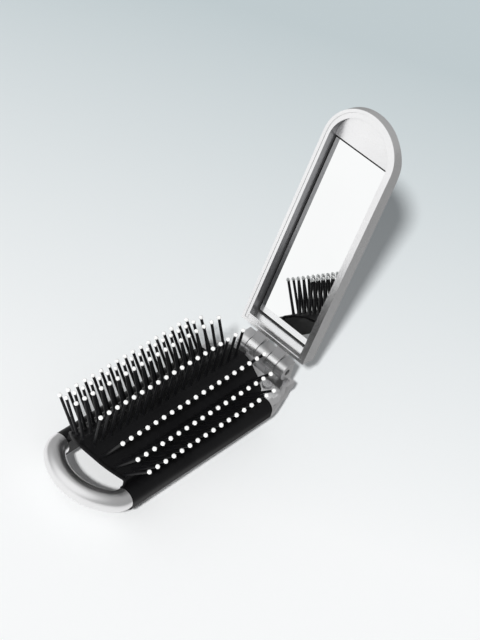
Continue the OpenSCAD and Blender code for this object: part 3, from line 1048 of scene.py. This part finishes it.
@dataclass
class PinRow:
    """A row of pins with its balls and the band of rubber that carries it.

    Attributes:
        arch: the pad's section.
        place: which row it is.
        side: the row's side; the centre row takes FAR.
        pin: the shape of a pin.
    """

    arch: PadArch
    place: RowPlace
    side: Side
    pin: PinShape

    @property
    def name(self) -> str:
        """The row's name in the record."""
        if self.place is RowPlace.CENTRE:
            return "centre"
        return f"{self.side.name.lower()}_{self.place.name.lower()}"

    @property
    def body(self) -> str:
        """The body that carries the row."""
        return f"row_{self.name}"

    @property
    def run(self) -> float:
        """The row's place along the sheet, mm, signed."""
        return self.side.value * self.arch.row_run(self.place)

    def pin_places(self) -> list[Matrix]:
        """Spaces the pins evenly along the row.

        Returns:
            Each pin's place in the row frame, with Z along the pin.
        """
        y, z, lean = self.arch.place(self.run)
        pitch = self.arch.pin_pitch
        count = self.arch.row_pins(self.place)
        first = -pitch * (count - 1) / 2
        turn = Matrix.Rotation(-lean, 4, "X")
        return [
            Matrix.Translation(Vector((first + pin * pitch, y, z)) * MM) @ turn
            for pin in range(count)
        ]

    def build_pins(self) -> None:
        """Makes the row's shafts and balls."""
        places = self.pin_places()
        shafts, balls = repeated(self.pin.shaft(), places), repeated(self.pin.ball(), places)
        shaft_piece = finish_piece(f"pins_{self.name}", shafts, PIN_BLACK, RUBBER_CREASE)
        ball_piece = finish_piece(f"balls_{self.name}", balls, IVORY, BALL_CREASE)
        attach(shaft_piece, self.body)
        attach(ball_piece, self.body)
        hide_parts(f"row_{self.name}")
        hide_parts(f"tips_{self.name}")

    def build_band(self, low: float, high: float) -> None:
        """Makes the band of the sheet from one half gap to the next.

        Args:
            low: start of the band along the sheet, mm.
            high: end of the band along the sheet, mm.
        """
        piece = self.arch.band(f"band_{self.name}", low, high, self.run)
        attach(piece, self.body)
        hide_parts("bristle_sheet")


@dataclass
class Pad:
    """The raised pad: seven rows on their bands, and the two feet that meet the rails.

    Attributes:
        arch: the pad's section.
        pin: the shape of a pin.
        edge_run: how far the outer bands reach past the outer rows, mm.
    """

    arch: PadArch
    pin: PinShape
    edge_run: float = 0.9

    def rows(self) -> list[PinRow]:
        """Lays out the seven rows.

        Returns:
            The rows from the near side to the far side.
        """
        places = list(RowPlace)
        near = [PinRow(self.arch, place, Side.NEAR, self.pin) for place in places[:0:-1]]
        far = [PinRow(self.arch, place, Side.FAR, self.pin) for place in places]
        return near + far

    def build(self) -> None:
        """Makes every row and both feet."""
        rows = self.rows()
        runs = [row.run for row in rows]
        middles = [(a + b) / 2 for a, b in zip(runs, runs[1:])]
        limits = [runs[0] - self.edge_run, *middles, runs[-1] + self.edge_run]
        for row, low, high in zip(rows, limits, limits[1:]):
            row.build_pins()
            row.build_band(low, high)
        for side in Side:
            self.build_foot(side)

    def build_foot(self, side: Side) -> None:
        """Makes the stretch of sheet between an outer row and its rail.

        Args:
            side: the side of the brush.
        """
        start = self.arch.outer_run + self.edge_run
        _, turn_end, _ = self.arch.place(self.arch.foot_run)
        end = self.arch.foot_run + turn_end - self.arch.foot_z
        low, high = sorted((side.value * start, side.value * end))
        piece = self.arch.band(f"foot_{side.name.lower()}", low, high)
        foot = self.arch.place(side.value * end)
        top = self.arch.place(side.value * start)
        f"row_{side.name.lower()}_outer"
        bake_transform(piece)
        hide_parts("bristle_sheet")


# ---------------------------------------------------------------------------
# Rigid mouldings
# ---------------------------------------------------------------------------


@dataclass
class LoopSkin:
    """The smooth outer face of the finger loop, swept in three arcs from rail to rail.

    Attributes:
        tube_radius: radius of the loop's tube, mm.
        rail_y: distance of the rails from the middle, mm.
        reach: length of the loop beyond the rails, mm.
        middle_z: height of the tube's middle line, mm.
        turn: angle of each side arc, degrees.
        skin: how far the skin stands off the frame, mm.
        tube_faces: faces round the tube.
        side_steps: steps along each side arc.
        front_steps: steps along the front arc.
        weld: corners of the swept tube closer than this are one corner, mm.
    """

    tube_radius: float = 3.3
    rail_y: float = 13.7
    reach: float = 9.2
    middle_z: float = 9.3
    turn: float = 50.0
    skin: float = 0.05
    tube_faces: int = 48
    side_steps: int = 14
    front_steps: int = 30
    weld: float = 0.001

    def build(self) -> None:
        """Spins a ring along the loop and lets it ride on the frame."""
        turn = math.radians(self.turn)
        rest = (1 - math.sin(turn)) / math.cos(turn)
        side = self.reach - self.rail_y * rest
        side /= math.sin(turn) - (1 - math.cos(turn)) * rest
        front = (self.rail_y - side * (1 - math.cos(turn))) / math.cos(turn)
        start_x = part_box("sheet_edge_far")[0].x / MM
        shape = bmesh.new()
        place = Matrix.Translation(Vector((start_x, self.rail_y, self.middle_z)) * MM)
        bmesh.ops.create_circle(
            shape,
            segments=self.tube_faces,
            radius=(self.tube_radius + self.skin) * MM,
            matrix=place @ Matrix.Rotation(math.radians(90), 4, "Y"),
        )
        ring = list(shape.verts) + list(shape.edges)
        arcs = (
            (start_x, self.rail_y - side, turn, self.side_steps),
            (start_x - self.reach + front, 0.0, math.pi - 2 * turn, self.front_steps),
            (start_x, side - self.rail_y, turn, self.side_steps),
        )
        for middle_x, middle_y, angle, steps in arcs:
            ring = bmesh.ops.spin(
                shape,
                geom=ring,
                cent=Vector((middle_x, middle_y, self.middle_z)) * MM,
                axis=(0, 0, 1),
                angle=angle,
                steps=steps,
            )["geom_last"]
        bmesh.ops.remove_doubles(shape, verts=shape.verts, dist=self.weld * MM)
        bmesh.ops.holes_fill(shape, edges=shape.edges)
        piece = finish_piece("loop_skin", shape, SATIN_SILVER, TUBE_CREASE)
        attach(piece, "base")
        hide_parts("base_frame")


@dataclass
class Housing:
    """Frame, back cover, screws, sheet edges, pins and lift arm.

    Attributes:
        mouldings: the rigid mouldings, in the order in which they are dressed.
        loop: the skin over the finger loop.
    """

    mouldings: tuple[MouldedPiece, ...] = (
        MouldedPiece("base_frame", "base", SATIN_SILVER, edge_mm=0.22),
        MouldedPiece("back_cover", "base", SATIN_SILVER, edge_mm=0.2),
        MouldedPiece("cover_screws", "base", STEEL, edge_mm=0.12),
        MouldedPiece("sheet_edge_near", "base", RUBBER, edge_mm=0.15),
        MouldedPiece("sheet_edge_far", "base", RUBBER, edge_mm=0.15),
        MouldedPiece("arm_pin", "base", STEEL, edge_mm=0.1),
        # Painted shade: the hinge pin is painted near black.
        MouldedPiece("hinge_pin", "hinge_pin", HINGE_PIN_PAINTED_SHADE, edge_mm=0.1),
        MouldedPiece("lift_arm", "lift_arm", SATIN_SILVER, edge_mm=0.15),
    )
    loop: LoopSkin = field(default_factory=LoopSkin)

    def build(self, frame: dict) -> None:
        """Dresses every moulding of the body.

        Args:
            frame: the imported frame.
        """
        for moulding in self.mouldings:
            moulding.build(frame)
        self.loop.build()


@dataclass
class MirrorLid:
    """The lid with its liner, the mirror and the plates at its two ends.

    Attributes:
        mouldings: the lid's rigid mouldings.
        glass_gap: gap between the glass and the tray's walls, mm.
        bed_depth: how far the bed round the glass lies below its face, mm.
        bead_radius: radius of the bead on the apron's upper edge, mm.
        bead_faces: faces round the bead.
        apron_drop: how far the apron lies below the rim, mm.
        apron_lap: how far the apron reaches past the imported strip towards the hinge, mm.
    """

    mouldings: tuple[MouldedPiece, ...] = (
        LidMoulding(
            "lid_shell",
            "lid",
            BRIGHT_SILVER,
            edge_mm=0.25,
            # Painted shade: the lid's tilted faces take a darker silver.
            facing_shade=FacingShade(TAB_SILVER_PAINTED_SHADE, least=0.75, most=0.92, area=5.0),
        ),
        LidMoulding(
            "lid_liner",
            "lid",
            BRIGHT_SILVER,
            edge_mm=0.2,
            # Painted shade: the tray's walls take a darker silver.
            facing_shade=FacingShade(TRAY_WALL_PAINTED_SHADE, least=0.0, most=0.4),
        ),
        LidMoulding("tip_plate", "lid", BRIGHT_SILVER, edge_mm=0.12),
    )
    glass_gap: float = 0.55
    bed_depth: float = 0.35
    bead_radius: float = 0.32
    bead_faces: int = 16
    apron_drop: float = 0.08
    apron_lap: float = 0.6

    def build(self, frame: dict) -> None:
        """Dresses every piece of the lid.

        Args:
            frame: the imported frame.
        """
        for moulding in self.mouldings:
            moulding.build(frame)
        span = LidSpan.of(frame)
        self.build_glass(frame, span)
        self.build_apron(frame, span)

    def build_glass(self, frame: dict, span: LidSpan) -> None:
        """Makes the glass, drawn in from the tray's walls, on a dark bed that shows round it.

        Args:
            frame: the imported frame.
            span: the lid's span.
        """
        low, high = span.extent(frame, "mirror")
        gap = Vector((self.glass_gap, self.glass_gap, 0)) * MM
        step = Vector((0, 0, self.bed_depth)) * MM
        for name, shape, finish, node in (
            ("mirror_glass", span.block(low + gap, high - gap), MIRROR, "mirror"),
            ("mirror_bed", span.block(low, high - step), TAPE, "mirror_tape"),
        ):
            piece = finish_piece(name, shape, finish)
            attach(piece, "lid")
            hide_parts(node)

    def build_apron(self, frame: dict, span: LidSpan) -> None:
        """Makes the plate that closes the tray's lower end, with a bead along its edge.

        Args:
            frame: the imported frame.
            span: the lid's span.
        """
        low, high = span.extent(frame, "lower_strip")
        low.x -= self.apron_lap * MM
        high.z = span.rim - self.apron_drop * MM
        shape = span.block(low, high)
        radius = self.bead_radius * MM
        place = Matrix.Translation((high.x - radius, (low.y + high.y) / 2, high.z))
        bmesh.ops.create_cone(
            shape,
            cap_ends=True,
            segments=self.bead_faces,
            radius1=radius,
            radius2=radius,
            depth=high.y - low.y,
            matrix=span.turn @ place @ Matrix.Rotation(math.radians(90), 4, "X"),
        )
        piece = finish_piece("lid_apron", shape, BRIGHT_SILVER)
        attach(piece, "lid")
        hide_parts("lower_strip")


# ---------------------------------------------------------------------------
# Stage
# ---------------------------------------------------------------------------


@dataclass(frozen=True)
class FarLamp:
    """A lamp so far away that it lights the whole table evenly.

    Attributes:
        name: the lamp's name.
        way: direction in which its light travels.
        spread: angle that the lamp fills in the sky, degrees.
        strength: irradiance in watts per square metre.
    """

    name: str
    way: Way
    spread: float
    strength: float

    def build(self) -> None:
        """Hangs the lamp, unseen in metal and glass."""
        data = bpy.data.lights.new(self.name, "SUN")
        data.angle = math.radians(self.spread)
        data.energy = self.strength
        lamp = bpy.data.objects.new(self.name, data)
        lamp.location = -Vector(self.way)
        lamp.rotation_euler = Vector(self.way).to_track_quat("-Z", "Y").to_euler()
        lamp.visible_glossy = False
        bpy.context.scene.collection.objects.link(lamp)


@dataclass
class Studio:
    """Camera, floor, sky and lamp.

    Attributes:
        camera_place: the camera's place, in metres.
        right: the picture's right, in the row frame.
        down: the picture's down, in the row frame.
        forward: the camera's view direction, in the row frame.
        lens: focal length, mm.
        sensor: width of the sensor, mm.
        clip: nearest and furthest distance that the camera sees, in metres.
        floor_size: half width of the floor, in metres.
        near_tone: colour of the floor at the bottom of the picture.
        far_tone: colour of the floor at the top of the picture.
        tone_run: where the floor's tone begins and ends to change, in metres from the
            brush along the view.
        paper_roughness: roughness of the floor.
        paper_specular: specular level of the floor.
        seen_way: direction in which the painted shade on the mirrored floor grows.
        seen_run: where that change begins and ends, in metres from the brush.
        seen_levels: strength of the mirrored floor's painted glow before and after the change.
        sky_tone: colour of the sky that lights the brush.
        sky_level: strength of that sky.
        sky_grey: strength of the sky that metal reflects.
        panel_level: strength of the bright panel in the reflected sky.
        panel_way: direction of the panel.
        panel_edges: cosines of the angles at which the panel begins and is brightest.
        key: the lamp.
    """

    camera_place: Way = (-0.36408, -0.23641, 0.45250)
    right: Way = (0.65871, -0.72172, 0.21266)
    down: Way = (-0.40115, -0.57599, -0.71226)
    forward: Way = (0.63654, 0.38386, -0.66893)
    lens: float = 150.0
    sensor: float = 36.0
    clip: Span = (0.01, 10.0)
    floor_size: float = 6.0
    near_tone: Colour = (0.97, 0.98, 0.98)
    far_tone: Colour = (0.55, 0.62, 0.64)
    tone_run: Span = (-0.015, 0.25)
    paper_roughness: float = 0.9
    paper_specular: float = 0.1
    seen_way: Way = (0.80, -0.60, 0.0)
    seen_run: Span = (-0.02, 0.06)
    seen_levels: Span = (1.0, 0.30)
    sky_tone: Colour = (0.97, 0.98, 1.0)
    sky_level: float = 0.30
    sky_grey: float = 0.46
    panel_level: float = 1.25
    panel_way: Way = (-0.70, 0.30, 0.62)
    panel_edges: Span = (0.62, 0.95)
    key: FarLamp = FarLamp("key", way=(0.678, 0.268, -0.700), spread=4.0, strength=3.05)

    def build(self) -> None:
        """Makes the whole studio."""
        self.build_camera()
        self.build_floor()
        self.build_sky()
        self.key.build()

    def build_camera(self) -> None:
        """Sets the camera to the photograph's view."""
        data = bpy.data.cameras.new("camera")
        data.lens = self.lens
        data.sensor_fit = "HORIZONTAL"
        data.sensor_width = self.sensor
        data.clip_start, data.clip_end = self.clip
        camera = bpy.data.objects.new("camera", data)
        columns = [Vector(self.right), -Vector(self.down), -Vector(self.forward)]
        turn = Matrix(columns).transposed().to_4x4()
        camera.matrix_world = Matrix.Translation(self.camera_place) @ turn
        bpy.context.scene.collection.objects.link(camera)
        bpy.context.scene.camera = camera

    def build_floor(self) -> None:
        """Lays a plain floor whose tone runs from white in front to pale grey behind."""
        shape = bmesh.new()
        bmesh.ops.create_grid(shape, x_segments=1, y_segments=1, size=self.floor_size)
        mesh = bpy.data.meshes.new("floor")
        shape.to_mesh(mesh)
        shape.free()
        floor = bpy.data.objects.new("floor", mesh)
        bpy.context.scene.collection.objects.link(floor)
        mesh.materials.append(self.floor_paper())

    def floor_paper(self) -> bpy.types.Material:
        """Makes the floor's paper; metal and glass see it as a painted glow, with painted
        shade at the right in front.

        Returns:
            The material.
        """
        sheet = NodeSheet("floor_paper")
        ahead = Vector((self.forward[0], self.forward[1], 0)).normalized()
        reach = sheet.mapped(sheet.along(sheet.place, ahead), self.tone_run)
        tone = sheet.tint(reach, self.near_tone, self.far_tone, span=(0.0, 1.0))
        sheet.link(tone, sheet.shader.inputs["Base Color"])
        sheet.set(Roughness=self.paper_roughness, Specular_IOR_Level=self.paper_specular)
        # Painted reflection: metal and glass mirror the floor as a glow, painted darker at the
        # right in front so that the brush's near faces look shaded.
        seen = sheet.add("ShaderNodeEmission")
        beside = sheet.along(sheet.place, self.seen_way)
        level = sheet.mapped(beside, self.seen_run, self.seen_levels, "SMOOTHSTEP")
        sheet.link(level, seen.inputs["Strength"])
        whole = sheet.by_ray(sheet.shader.outputs["BSDF"], seen.outputs["Emission"])
        sheet.link(whole, sheet.output.inputs["Surface"])
        return sheet.material

    def build_sky(self) -> None:
        """Makes an even sky for the light; metal reflects a grey one with a bright panel."""
        world = bpy.data.worlds.new("sky")
        world.use_nodes = True
        sky = NodeTree(world.node_tree)
        plain = sky.add("ShaderNodeBackground")
        plain.inputs["Color"].default_value = (*self.sky_tone, 1.0)
        plain.inputs["Strength"].default_value = self.sky_level
        mirrored = sky.add("ShaderNodeBackground")
        panel = Vector(self.panel_way).normalized()
        toward = sky.along(sky.coordinates.outputs["Generated"], panel)
        levels = (self.sky_grey, self.panel_level)
        level = sky.mapped(toward, self.panel_edges, levels, "SMOOTHSTEP")
        sky.link(level, mirrored.inputs["Strength"])
        whole = sky.by_ray(plain.outputs["Background"], mirrored.outputs["Background"])
        output = sky.add("ShaderNodeOutputWorld")
        sky.link(whole, output.inputs["Surface"])
        bpy.context.scene.world = world


def main() -> None:
    """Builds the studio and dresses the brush."""
    logging.basicConfig(level=logging.INFO, format="%(relativeCreated)d %(name)s: %(message)s")
    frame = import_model()
    bpy.context.scene.view_settings.view_transform = "Standard"
    Studio().build()
    Housing().build(frame)
    MirrorLid().build(frame)
    Pad(PadArch(), PinShape()).build()


if __name__ == "__main__":
    main()
